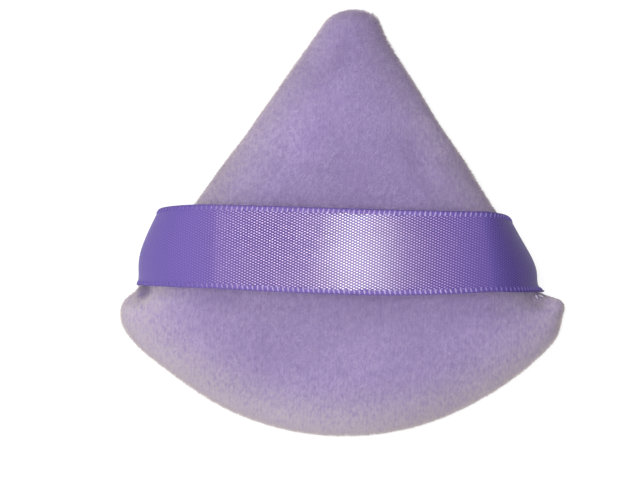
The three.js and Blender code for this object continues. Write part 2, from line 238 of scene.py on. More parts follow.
def add_node(tree, kind, links=None, **values):
    """Adds a node with its settings, and links or sets its inputs by name or number.

    A node that is given for an input is linked by the first of its outputs that is in use.
    """
    made = tree.nodes.new(kind)
    for key, value in values.items():
        setattr(made, key, value)
    for socket, value in (links or {}).items():
        if isinstance(value, bpy.types.Node):
            value = next(output for output in value.outputs if output.enabled)
        if isinstance(value, bpy.types.NodeSocket):
            tree.links.new(value, made.inputs[socket])
        else:
            made.inputs[socket].default_value = value
    return made


def emptied(owner):
    """Clears the node tree of a material or a world. Returns the function that adds nodes to it."""
    owner.use_nodes = True
    owner.node_tree.nodes.clear()
    return functools.partial(add_node, owner.node_tree)


def new_material(name):
    material = bpy.data.materials.new(name)
    return material, emptied(material)


def rgba(colour, share=1.0):
    """A colour as a socket takes it, dimmed to a share of its light."""
    return (*(c * share for c in colour), 1.0)


# The pad's form


def arc(centre, radius, start, end, steps, bend=1):
    """Points and outward normals on an arc, without its last point."""
    angles = start + (end - start) * np.arange(steps) / steps
    normals = np.stack((np.cos(angles), np.sin(angles)), 1)
    return np.array(centre) + radius * normals, bend * normals


def outline(pad, steps):
    """The pad's edge: its points, their outward normals and how far in each point shifts.

    The points go anticlockwise from the lowest one of the base.
    """
    base_y = -pad.length / 2
    corner = np.array((pad.width / 2 - pad.corner_radius, base_y + pad.corner_height))
    apex = np.array((0.0, pad.length / 2 - pad.apex_radius))
    rise = pad.corner_height - pad.corner_radius
    base_radius = (corner[0] ** 2 + pad.corner_height**2 - pad.corner_radius**2) / (2 * rise)
    base_centre = np.array((0.0, base_y + base_radius))
    along = apex - corner
    span = np.linalg.norm(along)
    along /= span
    side_radius = span**2 / (8 * pad.draw_in)
    to_corner, to_apex = side_radius + pad.corner_radius, side_radius + pad.apex_radius
    foot = (to_corner**2 - to_apex**2 + span**2) / (2 * span)
    out = np.array((along[1], -along[0]))
    side_centre = corner + along * foot + out * math.sqrt(to_corner**2 - foot**2)

    def angle(a, b):
        return math.atan2(b[1] - a[1], b[0] - a[0])

    full, turn = 2 * math.pi, math.pi / 2
    low, high = angle(side_centre, corner) + full, angle(side_centre, apex) + full
    arcs = (
        arc(base_centre, base_radius, -turn, angle(base_centre, corner), 14 * steps),
        arc(corner, pad.corner_radius, angle(base_centre, corner), angle(corner, side_centre), 9 * steps),
        arc(side_centre, side_radius, low, high, 16 * steps, -1),
        arc(apex, pad.apex_radius, angle(apex, side_centre), turn, 6 * steps),
        arc(apex, pad.apex_radius, turn, turn, 1),
    )
    flip = np.array((-1.0, 1.0))
    halves = [np.concatenate(part) for part in zip(*arcs)]
    points, normals = (np.concatenate((half, half[-2:0:-1] * flip)) for half in halves)
    pull = np.zeros(len(points))
    for side, depth, height, reach in SEAM_SHIFTS:
        on_side = 0.5 + 0.5 * np.tanh(points[:, 0] * side / (3 * MM))
        near = np.exp(-(((points[:, 1] - base_y - height * MM) / (reach * MM)) ** 2))
        pull += depth * MM * on_side * near
    return points, normals, pull


def edge_ring(pad, steps, inset=0.0):
    """The edge moved in by an inset. The shifts fade out on the way in."""
    points, normals, pull = outline(pad, steps)
    return points - normals * (inset + pull * math.exp(-inset / (4 * MM)))[:, None]


def level_ring(pad, steps, inset, height):
    """The edge moved in by an inset, at a height above the seam."""
    ring = edge_ring(pad, steps, inset)
    return np.column_stack((ring, np.broadcast_to(height, len(ring))))


class PadForm:
    """The pad's surface: how high its skin stands above the seam at each place."""

    def __init__(self, pad, dents=()):
        self.pad = pad
        self.dents = dents
        self.edge = edge_ring(pad, 2)
        self.full = self.soft_inset(pad_middle(pad)[None])[0]

    def soft_inset(self, points):
        """The distance to the edge, softened so that all of the edge counts."""
        a, b = self.edge, np.roll(self.edge, -1, 0)
        length = np.linalg.norm(b - a, axis=1)
        to = a[None] - points[:, None]
        step = (b - a)[None]
        start = (to * step).sum(2) / length
        end = start + length
        off = (to[..., 0] * step[..., 1] - to[..., 1] * step[..., 0]) / length
        off = np.where(np.abs(off) < 1e-6, 1e-6, off)
        pull = (end / np.hypot(end, off) - start / np.hypot(start, off)) / off**2
        return np.sqrt(2 / np.maximum(pull.sum(1), 1e-9))

    def rise(self, points):
        """The height of the skin above the seam, with its dents."""
        share = np.clip(self.soft_inset(points) / self.full, 0, 1)
        height = self.pad.crown * np.sqrt(1 - (1 - share) ** self.pad.fullness)
        for x, y, half_length, half_width, turn, depth in self.dents:
            c, s = math.cos(math.radians(turn)), math.sin(math.radians(turn))
            to = points - np.array((x, y)) * MM
            u, v = (to @ (c, s)) / (half_length * MM), (to @ (-s, c)) / (half_width * MM)
            height = height - depth * MM * np.exp(-(u**2) - v**2)
        return np.maximum(height, 0)

    def skin(self, points, depth, top):
        """The skin at points (x, y), moved in by depth along its normals and pressed flat at top."""
        step = 0.05 * MM
        slopes = [
            (self.rise(points - shift) - self.rise(points + shift)) / (2 * step)
            for shift in (np.array((step, 0)), np.array((0, step)))
        ]
        normals = np.stack((*slopes, np.ones(len(points))), 1)
        normals /= np.linalg.norm(normals, axis=1)[:, None]
        placed = np.column_stack((points, self.rise(points))) - normals * depth
        # a smooth minimum, so that the pressed face has no ridge round it
        soft = 0.12 * MM
        placed[:, 2] = top - depth - soft * np.logaddexp(0, (top - depth - placed[:, 2]) / soft)
        return placed


def pad_middle(pad):
    """The pad's fullest point."""
    return np.array((0.0, pad.length * (pad.middle_share - 0.5)))


def ring_plan(pad, steps):
    """Rings (x, y) from the edge inwards, close together near the seam."""
    middle = pad_middle(pad)
    insets = pad.allowance * np.array((0.012, 0.05, 0.11, 0.18, 0.27, 0.37, 0.48, 0.6, 0.73, 0.86, 1.0))
    rings = [edge_ring(pad, steps, inset) for inset in insets]
    inner = rings[-1]
    rings += [middle + (inner - middle) * share for share in 1 - np.arange(1, 20) / 20]
    return rings, middle


def ring_faces(count, rings, first, pole=None):
    """Quads between consecutive rings of count points, and a fan from the last ring to a pole.

    The first ring starts at the index first.
    """
    faces = []
    for a in range(first, first + (rings - 1) * count, count):
        steps = [(a + i, a + (i + 1) % count) for i in range(count)]
        faces += [(i, j, j + count, i + count) for i, j in steps]
    if pole is not None:
        last = first + (rings - 1) * count
        faces += [(last + i, last + (i + 1) % count, pole) for i in range(count)]
    return faces


def closed_mesh(name, stack, poles, side, material):
    """A closed mesh from a stack of rings with a pole at each end, above or below the seam."""
    count, total = len(stack[0]), len(stack)
    verts = np.concatenate((poles[0], *stack, poles[1]))
    verts[:, 2] = SEAM_Z + side * verts[:, 2]
    faces = [(0, 1 + i, 1 + (i + 1) % count) for i in range(count)]
    faces += ring_faces(count, total, 1, 1 + total * count)
    return mesh_object(name, verts, faces, material)


def filled_shape(pad, form):
    """How the filling swells the cover, from a cloth simulation of both panels sewn along the edge.

    Returns, for each side, how far each ring point moves. The puff is simulated ten times as large,
    where the cloth solver is steady, and starts a little flatter than it is.
    """
    scale, flatness, frames = 10.0, 0.93, 14
    rings, middle = ring_plan(pad, 3)
    seam_line = level_ring(pad, 3, 0.0, 0.0)
    count = len(seam_line)
    per_side = len(rings) * count + 1
    verts, faces = [seam_line], []
    for k, side in enumerate((1, -1)):
        for ring in rings:
            height = form.skin(ring, 0.0, pad.crown)[:, 2]
            verts.append(np.column_stack((ring, height * side * flatness)))
        verts.append(np.array(((*middle, side * flatness * pad.crown),)))
        first = count + k * per_side
        for i in range(count):
            j = (i + 1) % count
            faces.append((i, j, first + j, first + i))
        faces += ring_faces(count, len(rings), first, first + per_side - 1)
    start = np.concatenate(verts) * scale
    cover = mesh_object("cover", start, faces, None)
    bpy.context.view_layer.update()
    seam = cover.vertex_groups.new(name="seam")
    seam.add(list(range(count)), 1.0, "REPLACE")
    cloth = cover.modifiers.new("filling", "CLOTH")
    settings = cloth.settings
    settings.vertex_group_mass = "seam"
    settings.mass = 0.3
    settings.use_pressure = True
    settings.uniform_pressure_force = 4.0
    settings.tension_stiffness = settings.compression_stiffness = 18
    settings.bending_stiffness = 0.6
    settings.shrink_min = -0.02
    settings.effector_weights.gravity = 0.0
    settings.quality = 6
    cloth.collision_settings.use_collision = False
    scene = bpy.context.scene
    for number in range(1, frames + 1):
        scene.frame_set(number)
    evaluated = cover.evaluated_get(bpy.context.evaluated_depsgraph_get())
    end = read_vectors(evaluated.data.vertices, "co")
    scene.frame_set(1)
    remove_mesh(cover)
    moved = (end - start) / scale
    return [moved[count + k * per_side : count + (k + 1) * per_side] for k in range(2)]


def settled(moved, most):
    """The movement of the cloth, less its mean, held to at most a given distance."""
    lift = moved - moved.mean(0)
    size = np.linalg.norm(lift, axis=1)[:, None]
    return lift * most / np.maximum(size + most, 1e-9)


def velour_panel(name, side, pad, pile, form, swell, material):
    """One panel as a closed shell, and how many of its points are on the pile side.

    The shell is the ground of its pile, the fold at the seam, the allowance turned in and the inner face.
    """
    rings, middle = ring_plan(pad, 3)
    count = len(rings[0])
    top = pad.crown if side > 0 else SEAM_Z
    depth = pile.height * 0.9
    outer = [form.skin(ring, depth, top) for ring in rings]
    for ring in outer:
        ring[:, 2] = np.maximum(ring[:, 2], SEAM_GAP / 2 + 0.02 * MM)
    pole = form.skin(middle[None], depth, top)
    if swell is not None:
        moves = settled(swell * (1, 1, side), 0.35 * MM)
        for r, ring in enumerate(outer):
            ring += moves[r * count : (r + 1) * count] * min(1, r / 6)
        pole += moves[-1]
    for ring in (*outer, pole):
        ring[:, 2] = np.minimum(ring[:, 2], top - depth)
    edge = level_ring(pad, 3, depth, SEAM_GAP / 2)
    allowance = level_ring(pad, 3, pad.allowance, SEAM_GAP / 2)
    turned = allowance + UP * (pad.fabric - depth)
    fold = level_ring(pad, 3, pad.fabric + depth, turned[:, 2])
    inner = [form.skin(ring, pad.fabric + CLEARANCE, top) for ring in rings[6::2]]
    for ring in inner:
        ring[:, 2] = np.maximum(ring[:, 2], turned[:, 2] + CLEARANCE)
    stack = [*outer[::-1], edge, allowance, turned, fold, *inner]
    poles = pole, form.skin(middle[None], pad.fabric, top)
    return closed_mesh(name, stack, poles, side, material), 1 + (len(outer) + 1) * count


# Geometry nodes


def node_tree(name, sizes):
    """A geometry node tree with an input for the geometry and one for each named size.

    Returns the tree, the function that adds nodes to it and its inputs.
    """
    tree = bpy.data.node_groups.new(name, "GeometryNodeTree")
    tree.is_modifier = True
    for socket, kind in {"Geometry": "Geometry", **sizes}.items():
        tree.interface.new_socket(socket, in_out="INPUT", socket_type="NodeSocket" + kind)
    tree.interface.new_socket("Geometry", in_out="OUTPUT", socket_type="NodeSocketGeometry")
    add = functools.partial(add_node, tree)
    return tree, add, add("NodeGroupInput").outputs


def grown(name, carrier, tree, values):
    """The plain mesh that a tree makes on a carrier, as a new object. The carrier is removed."""
    modifier = carrier.modifiers.new(name, "NODES")
    modifier.node_group = tree
    for item in tree.interface.items_tree:
        if item.in_out == "INPUT" and item.name in values:
            modifier[item.identifier] = values[item.name]
    bpy.context.view_layer.update()
    evaluated = carrier.evaluated_get(bpy.context.evaluated_depsgraph_get())
    mesh = bpy.data.meshes.new_from_object(evaluated)
    mesh.name = name
    remove_mesh(carrier)
    return new_object(name, mesh)


def finish_tree(add, instances, material):
    """Ends a tree: real geometry in its material."""
    real = add("GeometryNodeRealizeInstances", {0: instances})
    dressed = add("GeometryNodeSetMaterial", {"Geometry": real, "Material": material})
    add("NodeGroupOutput", {0: dressed})


def pile_tree():
    """Pile: tufts scattered over a panel, leaning with the nap."""
    sizes = dict.fromkeys(("Density", "Height", "Tuft", "Wale", "Lean"), "Float")
    tree, add, given = node_tree("Velour pile", {**sizes, "Seed": "Int", "Material": "Material"})
    place = add("GeometryNodeInputPosition")
    # denser on each column of the knit than between two
    across = add("ShaderNodeSeparateXYZ", {0: place}).outputs["X"]
    turns = add("ShaderNodeMath", {0: across, 1: given["Wale"]}, operation="DIVIDE")
    angle = add("ShaderNodeMath", {0: turns, 1: 2 * math.pi}, operation="MULTIPLY")
    wave = add("ShaderNodeMath", {0: angle}, operation="COSINE")
    share = add("ShaderNodeMath", {0: wave, 1: 0.45, 2: 1.0}, operation="MULTIPLY_ADD")
    density = add("ShaderNodeMath", {0: share, 1: given["Density"]}, operation="MULTIPLY")
    points = add(
        "GeometryNodeDistributePointsOnFaces",
        {"Mesh": given["Geometry"], "Density": density, "Seed": given["Seed"]},
    )
    normal = points.outputs["Normal"]
    tuft = add(
        "GeometryNodeMeshCone",
        {"Vertices": 3, "Radius Top": 0.0, "Radius Bottom": given["Tuft"], "Depth": given["Height"]},
        fill_type="NGON",
    )
    # each tuft is shaded as the skin that it grows on, because the tufts of real pile are too fine to have
    # a lit and a dark side
    marked = add(
        "GeometryNodeStoreNamedAttribute",
        {"Geometry": points, "Name": "skin", "Value": normal},
        data_type="FLOAT_VECTOR",
        domain="POINT",
    )
    # the nap: towards the base, turning a little from place to place
    swirl = add("ShaderNodeTexNoise", {"Vector": place, "Scale": 60.0, "Detail": 1.0})
    centred = {0: swirl.outputs["Color"], 1: (-0.5, -0.5, -0.5)}
    turned = add("ShaderNodeVectorMath", centred, operation="ADD")
    sweep = {0: turned, 1: (2.2, 2.2, 0.5), 2: (-0.25, -1.0, 0.0)}
    swept = add("ShaderNodeVectorMath", sweep, operation="MULTIPLY_ADD")
    nap = add("ShaderNodeVectorMath", {0: swept, "Scale": given["Lean"]}, operation="SCALE")
    loose = add(
        "FunctionNodeRandomValue",
        {0: (-0.16, -0.16, -0.1), 1: (0.16, 0.16, 0.1), "Seed": given["Seed"]},
        data_type="FLOAT_VECTOR",
    )
    leaning = add("ShaderNodeVectorMath", {0: normal, 1: nap}, operation="ADD")
    way = add("ShaderNodeVectorMath", {0: leaning, 1: loose}, operation="ADD")
    turn = add("FunctionNodeAlignRotationToVector", {"Vector": way}, axis="Z")
    spread = {2: 0.75, 3: 1.2, "Seed": given["Seed"]}
    size = add("FunctionNodeRandomValue", spread, data_type="FLOAT")
    tufts = add(
        "GeometryNodeInstanceOnPoints", {"Points": marked, "Instance": tuft, "Rotation": turn, "Scale": size}
    )
    finish_tree(add, tufts, given["Material"])
    return tree


def rail_tree():
    """Small rounded stitches, one on each point of a rail, turned by the rail's own axes."""
    sizes = dict.fromkeys(("Length", "Width", "Height"), "Float")
    tree, add, given = node_tree("Stitches on a rail", {**sizes, "Material": "Material"})
    bead = add("GeometryNodeMeshUVSphere", {"Segments": 8, "Rings": 6, "Radius": 0.5})
    along, out = (
        add("GeometryNodeInputNamedAttribute", {"Name": name}, data_type="FLOAT_VECTOR")
        for name in ("along", "out")
    )
    turn = add("FunctionNodeAxesToRotation", {0: out, 1: along}, primary_axis="Z", secondary_axis="X")
    scale = add("ShaderNodeCombineXYZ", {"X": given["Width"], "Y": given["Length"], "Z": given["Height"]})
    beads = add(
        "GeometryNodeInstanceOnPoints",
        {"Points": given["Geometry"], "Instance": bead, "Rotation": turn, "Scale": scale},
    )
    smooth = add("GeometryNodeSetShadeSmooth", {0: beads})
    finish_tree(add, smooth, given["Material"])
    return tree


def rail(name, places, along, out):
    """Points with the axes that a stitch on them takes."""
    carrier = mesh_object(name, places, [], None)
    for key, values in (("along", along), ("out", out)):
        attribute = carrier.data.attributes.new(key, "FLOAT_VECTOR", "POINT")
        attribute.data.foreach_set("vector", np.asarray(values, dtype=np.float32).ravel())
    return carrier


# Materials


def velour_material(name, deep, light, rim, roughness):
    """Brushed polyester velour, circular knit and sheared.

    Its short pile gives a matt face that pales where it is seen along the surface, and patches where the nap
    lies differently. Towards the seam, and most towards the lower left, a paler colour is painted in as
    sheen.
    """
    material, add = new_material(name)
    place = add("ShaderNodeTexCoord").outputs["Object"]
    # nap patches about 8 mm across
    patches = add("ShaderNodeTexNoise", {"Vector": place, "Scale": 1 / (8 * MM), "Detail": 3.0})
    # clumps of tufts about 0.6 mm across, drawn out along the nap
    drawn_out = {"Vector": place, "Scale": (1.0, 0.6, 1.0)}
    combed = add("ShaderNodeMapping", drawn_out, vector_type="POINT")
    clumps = {"Vector": combed, "Scale": 1 / (0.6 * MM), "Detail": 2.0, "Roughness": 0.7}
    tufts = add("ShaderNodeTexNoise", clumps)
    # columns of the knit 0.62 mm apart, as this texture has a band every tau / 20
    columns = {"Scale": math.tau / 20 / (0.62 * MM), "Distortion": 5.0, "Detail": 1.0, "Detail Scale": 1.5}
    wales = add("ShaderNodeTexWave", {"Vector": place, **columns}, bands_direction="X")
    grain = add("ShaderNodeMix", {"Factor": 0.06, "A": tufts, "B": wales.outputs["Fac"]})
    mixed = add("ShaderNodeMath", {0: patches, 1: 0.3, 2: grain}, operation="MULTIPLY_ADD")
    ramp = add("ShaderNodeMapRange", {"Value": mixed, "From Min": 0.48, "From Max": 0.8})
    shades = {"Factor": ramp, "A": rgba(deep), "B": rgba(light)}
    face = add("ShaderNodeMix", shades, data_type="RGBA")
    # painted sheen: towards the seam the pile is painted paler, most of all towards the lower left of the
    # base, standing in for the sheen, and the light from that side, where the surface turns away
    height = add("ShaderNodeSeparateXYZ", {0: place}).outputs["Z"]
    lift = add("ShaderNodeMath", {0: height, 1: SEAM_Z}, operation="SUBTRACT")
    low = add("ShaderNodeMath", {0: lift}, operation="ABSOLUTE")
    near_seam = add(
        "ShaderNodeMapRange",
        {"Value": low, "From Min": 8.5 * MM, "From Max": 2.6 * MM},
        interpolation_type="SMOOTHSTEP",
    )
    to_base = (-0.4, -0.9, 0.0)
    run_out = add("ShaderNodeVectorMath", {0: place, 1: to_base}, operation="DOT_PRODUCT")
    reach = 0.9 * LENGTH / 2
    near_base = add(
        "ShaderNodeMapRange", {"Value": run_out, "From Min": -reach, "From Max": reach, "To Min": 0.15}
    )
    both = add("ShaderNodeMath", {0: near_seam, 1: near_base}, operation="MULTIPLY")
    streaks = add(
        "ShaderNodeMapRange",
        {"Value": grain, "From Min": 0.35, "From Max": 0.65, "To Min": 0.45, "To Max": 1.5},
    )
    pale = add("ShaderNodeMath", {0: both, 1: streaks}, operation="MULTIPLY", use_clamp=True)
    edged = {"Factor": pale, "A": face, "B": rgba(rim)}
    colour = add("ShaderNodeMix", edged, data_type="RGBA")
    # painted shade: in the tuck under the ribbon's left corner the pile is painted dark, as the shade that
    # falls there
    tuck = add("ShaderNodeVectorMath", {0: place, 1: TUCK_SHADE_PLACE}, operation="DISTANCE")
    painted_tuck_shade = add(
        "ShaderNodeMapRange",
        {"Value": tuck, "From Min": 2.4 * MM, "From Max": 0.6 * MM, "To Max": 0.75},
        interpolation_type="SMOOTHSTEP",
    )
    closed = {"Factor": painted_tuck_shade, "A": colour, "B": rgba(deep, 0.45)}
    colour = add("ShaderNodeMix", closed, data_type="RGBA")
    bump = {"Height": grain, "Strength": 0.25, "Distance": 0.1 * MM}
    shader = add(
        "ShaderNodeBsdfPrincipled",
        {
            "Base Color": colour,
            "Roughness": roughness,
            "Specular IOR Level": 0.15,
            "Sheen Weight": 1.0,
            "Sheen Roughness": 0.45,
            "Sheen Tint": rgba(linear("#fff4e6")),
            "Normal": add("ShaderNodeBump", bump),
        },
    )
    add("ShaderNodeOutputMaterial", {"Surface": shader})
    return material


def satin_material(strap, colours):
    """Polyester satin ribbon, five-end weave of about 0.1 mm yarn.

    Long floats along the ribbon give it a gloss with a glint on each float, and the places where they dip
    under line up in diagonals.
    """
    material, add = new_material("Polyester satin ribbon")
    flat = add("ShaderNodeUVMap", uv_map="Ribbon")
    split = add("ShaderNodeSeparateXYZ", {0: flat})
    along, across = split.outputs["X"], split.outputs["Y"]

    # where the floats dip under, on two slanting families of lines
    def family(run, rise, sharpness):
        turns = (2 * math.pi * run, 2 * math.pi * rise, 0.0)
        phase = add("ShaderNodeVectorMath", {0: flat, 1: turns}, operation="DOT_PRODUCT")
        wave = add("ShaderNodeMath", {0: phase}, operation="COSINE")
        lines = add("ShaderNodeMath", {0: wave, 1: 0.5, 2: 0.5}, operation="MULTIPLY_ADD")
        return add("ShaderNodeMath", {0: lines, 1: sharpness}, operation="POWER")

    cell = strap.fleck_run * (strap.fleck_rise + strap.fleck_fall)
    falling = family(strap.fleck_fall / cell, strap.fleck_run / cell, 2.4)
    rising = family(strap.fleck_rise / cell, -strap.fleck_run / cell, 1.6)
    crown = add("ShaderNodeMath", {0: falling, 1: rising}, operation="MULTIPLY")
    place = add("ShaderNodeTexCoord").outputs["Object"]
    noise = add("ShaderNodeTexNoise", {"Vector": place, "Scale": 1 / (0.5 * MM), "Detail": 2.0})
    uneven = add("ShaderNodeMath", {0: noise, 1: 2.5, 2: 0.95}, operation="MULTIPLY_ADD")
    woven = add("ShaderNodeMath", {0: crown, 1: uneven}, operation="MULTIPLY")
    # the last millimetre along each edge is a plain selvedge
    to_upper = add("ShaderNodeMath", {0: strap.width, 1: across}, operation="SUBTRACT")
    to_edge = add("ShaderNodeMath", {0: across, 1: to_upper}, operation="MINIMUM")
    inside = add("ShaderNodeMapRange", {"Value": to_edge, "From Min": 0.75 * MM, "From Max": 0.95 * MM})
    # past its shoulders the weave is painted flat and even and glints less, standing in for the glint that
    # the floats turn away where the ribbon bends down
    away = add("ShaderNodeMath", {0: along}, operation="ABSOLUTE")
    glint_fade = add(
        "ShaderNodeMapRange",
        {"Value": away, "From Min": 27 * MM, "From Max": 14 * MM, "To Min": 0.15},
        interpolation_type="SMOOTHSTEP",
    )
    bed = add("ShaderNodeMath", {0: inside, 1: glint_fade}, operation="MULTIPLY")
    raised = add("ShaderNodeMath", {0: woven, 1: bed}, operation="MULTIPLY")
    even_part = add("ShaderNodeMath", {0: 1.0, 1: bed}, operation="SUBTRACT")
    # painted shade: towards the right end the ribbon is painted darker, nearer the shaded satin colour, as
    # that end turns away from the light
    share = add(
        "ShaderNodeMapRange",
        {"Value": along, "From Min": 12 * MM, "From Max": 30 * MM, "To Min": 0.3, "To Max": 0.02},
    )
    plain = add("ShaderNodeMath", {0: even_part, 1: share, 2: 0.05}, operation="MULTIPLY_ADD")
    # the floats are painted lighter and the dips darker, painted glint and shade on the weave; in the gloss
    # too the floats glint and the dips hardly do
    light, gloss = (
        add("ShaderNodeMath", {0: raised, 1: gain, 2: plain}, operation="MULTIPLY_ADD")
        for gain in (0.65, 1.9)
    )
    shades = {"Factor": light, "A": rgba(colours.satin_shaded), "B": rgba(colours.satin)}
    bump = {"Height": crown, "Strength": 0.3, "Distance": 0.04 * MM}
    shader = add(
        "ShaderNodeBsdfPrincipled",
        {
            "Base Color": add("ShaderNodeMix", shades, data_type="RGBA"),
            "Roughness": 0.5,
            "IOR": 1.6,
            "Specular IOR Level": gloss,
            "Specular Tint": rgba(linear("#fbccdc")),
            "Coat Weight": add("ShaderNodeMath", {0: raised, 1: 0.6}, operation="MULTIPLY"),
            "Coat Roughness": 0.16,
            "Anisotropic": 0.8,
            "Anisotropic Rotation": 0.25,
            "Normal": add("ShaderNodeBump", bump),
            "Tangent": add("ShaderNodeTangent", direction_type="UV_MAP", uv_map="Ribbon"),
        },
    )
    add("ShaderNodeOutputMaterial", {"Surface": shader})
    return material


def thread_material(name, colour, roughness, gloss=0.5, ends=None):
    """Spun polyester sewing thread. Its two plies show as fine slanting bands, the grooves between them
    painted darker as shade.

    Loops along the ribbon can take a darker colour and less gloss towards its ends, painted shade for the
    glint they lose where the ribbon bends down.
    """
    material, add = new_material(name)
    place = add("ShaderNodeTexCoord").outputs["Object"]
    bands = {"Vector": place, "Scale": 1 / (1.2 * MM), "Distortion": 1.5}
    plies = add("ShaderNodeTexWave", bands, bands_direction="DIAGONAL").outputs["Fac"]
    # painted shade: a darker copy of the thread colour in the grooves between the plies
    shades = {"Factor": plies, "A": rgba(colour, 0.7), "B": rgba(colour)}
    mixed = add("ShaderNodeMix", shades, data_type="RGBA")
    if ends:
        # painted shade: the loops towards the ribbon's ends are dimmed to the given colour
        across = add("ShaderNodeSeparateXYZ", {0: place}).outputs["X"]
        away = add("ShaderNodeMath", {0: across}, operation="ABSOLUTE")
        most = 0.85  # how far the last loops take on that colour
        fade = {"Value": away, "From Min": 16 * MM, "From Max": 29 * MM, "To Max": most}
        flat = add("ShaderNodeMapRange", fade, interpolation_type="SMOOTHSTEP")
        sunk = {"Factor": flat, "A": mixed, "B": rgba(ends)}
        mixed = add("ShaderNodeMix", sunk, data_type="RGBA")
        dulled = {"Value": flat, "From Max": most, "To Min": gloss, "To Max": 0.15}
        gloss = add("ShaderNodeMapRange", dulled)
    bump = add("ShaderNodeBump", {"Height": plies, "Strength": 0.4, "Distance": 0.03 * MM})
    finish = {"Base Color": mixed, "Roughness": roughness, "Specular IOR Level": gloss, "Normal": bump}
    shader = add("ShaderNodeBsdfPrincipled", finish)
    add("ShaderNodeOutputMaterial", {"Surface": shader})
    return material


def foam_material(colours):
    """Open-cell polyurethane foam, cut from a block. Its cells show as fine pores in a chalky face, painted
    darker as the shade inside them.
    """
    material, add = new_material("Open-cell polyurethane foam")
    place = add("ShaderNodeTexCoord").outputs["Object"]
    cells = add("ShaderNodeTexVoronoi", {"Vector": place, "Scale": 1 / (0.6 * MM)})
    # painted shade: a darker copy of the foam colour in the pores
    shades = {"Factor": cells, "A": rgba(colours.foam, 0.55), "B": rgba(colours.foam)}
    colour = add("ShaderNodeMix", shades, data_type="RGBA")
    bump = add("ShaderNodeBump", {"Height": cells, "Strength": 0.8, "Distance": 0.3 * MM})
    finish = {"Base Color": colour, "Roughness": 0.95, "Normal": bump}
    shader = add("ShaderNodeBsdfPrincipled", finish)
    add("ShaderNodeOutputMaterial", {"Surface": shader})
    return material


# The strap


def edge_x(pad, y, inset, side):
    """How far out the edge on one side, moved in by an inset, is at a height y."""
    line = edge_ring(pad, 6, inset)
    half = line[line[:, 0] * side >= 0]
    half = half[np.argsort(half[:, 1])]
    above = half[half[:, 1] > -pad.length / 2 + pad.corner_height]
    return np.interp(y, above[:, 1], above[:, 0] * side)


def strap_line(pad, strap, across):
    """A line of the ribbon's middle surface from its left tail to its right tail, above the seam.

    Each end of the ribbon lies along the slanted seam, so its upper edge comes down to the seam
    lower than it crosses the back, and stands out further.
    """
    base = -pad.length / 2
    arch, lead_rise = 0.6 * MM, 1.9 * MM
    top = pad.crown + strap.finger_gap + 0.2 * MM

    def between(ends):
        return (ends[0] + (ends[1] - ends[0]) * across) * MM

    bulge = 1 - (1 - across) ** 2
    belly = math.exp(-(((across - 0.25) / 0.17) ** 2))
    middle_y = base + between(STRAP_MIDDLE)
    t = np.linspace(0, 1, 49)[:, None]
    halves = []
    for sign, ends in STRAP_RUNS.items():
        exit_y, turn_y, level, shoulder = (between(pair) for pair in ends)
        exit_y, turn_y = base + exit_y, base + turn_y
        everywhere, upper, low = STRAP_REACH[sign]
        reach = (everywhere + upper * bulge + low * belly) * MM
        edges = (edge_x(pad, exit_y, inset, sign) for inset in (0.0, pad.allowance))
        exit_at, tail = (np.array((x, exit_y, 0.0)) for x in edges)
        slope = 2 * arch / level
        corners = (
            exit_at,
            np.array((exit_at[0] + reach, exit_y + 0.25 * (turn_y - exit_y), lead_rise)),
            np.array((level + shoulder, turn_y, top - arch - slope * shoulder)),
            np.array((level, turn_y, top - arch)),
        )
        # a cubic curve from the seam over the shoulder, between the tail in the seam and the level stretch
        curve = sum(c * k * (1 - t) ** (3 - i) * t**i for i, (c, k) in enumerate(zip(corners, (1, 3, 3, 1))))
        lead_in = tail + (exit_at - tail) * np.linspace(0, 1, 8)[:-1, None]
        share = np.linspace(1, 0, 31)[1:, None]
        y = middle_y + (turn_y - middle_y) * share**2
        stretch = np.concatenate((share * level, y, top - arch * share**2), 1)
        halves.append(np.concatenate((lead_in, curve, stretch)) * (sign, 1, 1))
    return np.concatenate((halves[0], halves[1][-2::-1]))


def even(line, steps):
    """A line's points spaced evenly by length, and the length at each from the middle of the strap."""
    lengths = np.concatenate(((0,), np.cumsum(np.linalg.norm(np.diff(line, axis=0), axis=1))))
    middle = np.interp(0.0, line[:, 0], lengths)
    at = np.linspace(0, lengths[-1], steps)
    points = np.stack([np.interp(at, lengths, line[:, k]) for k in range(3)], 1)
    return points, at - middle


def sampled(vectors, at):
    """Vectors that are spaced evenly along a line, read at shares of the way."""
    shares = np.linspace(0, 1, len(vectors))
    return np.stack([np.interp(at, shares, vectors[:, k]) for k in range(3)], 1)


def strap_surface(pad, strap):
    """The ribbon's middle surface as a grid of points, with its normals and its own flat coordinates."""
    steps, rows = 360, 31
    grid, run = zip(*(even(strap_line(pad, strap, a), steps) for a in np.linspace(0, 1, rows)))
    grid = np.array(grid)
    grid[..., 2] += SEAM_Z
    normals = np.cross(np.gradient(grid, axis=1), np.gradient(grid, axis=0))
    normals /= np.linalg.norm(normals, axis=2)[..., None]
    rise = np.repeat(np.linspace(0, strap.width, rows)[:, None], steps, 1)
    return grid, normals, np.stack((np.array(run), rise), 2)


# Operators


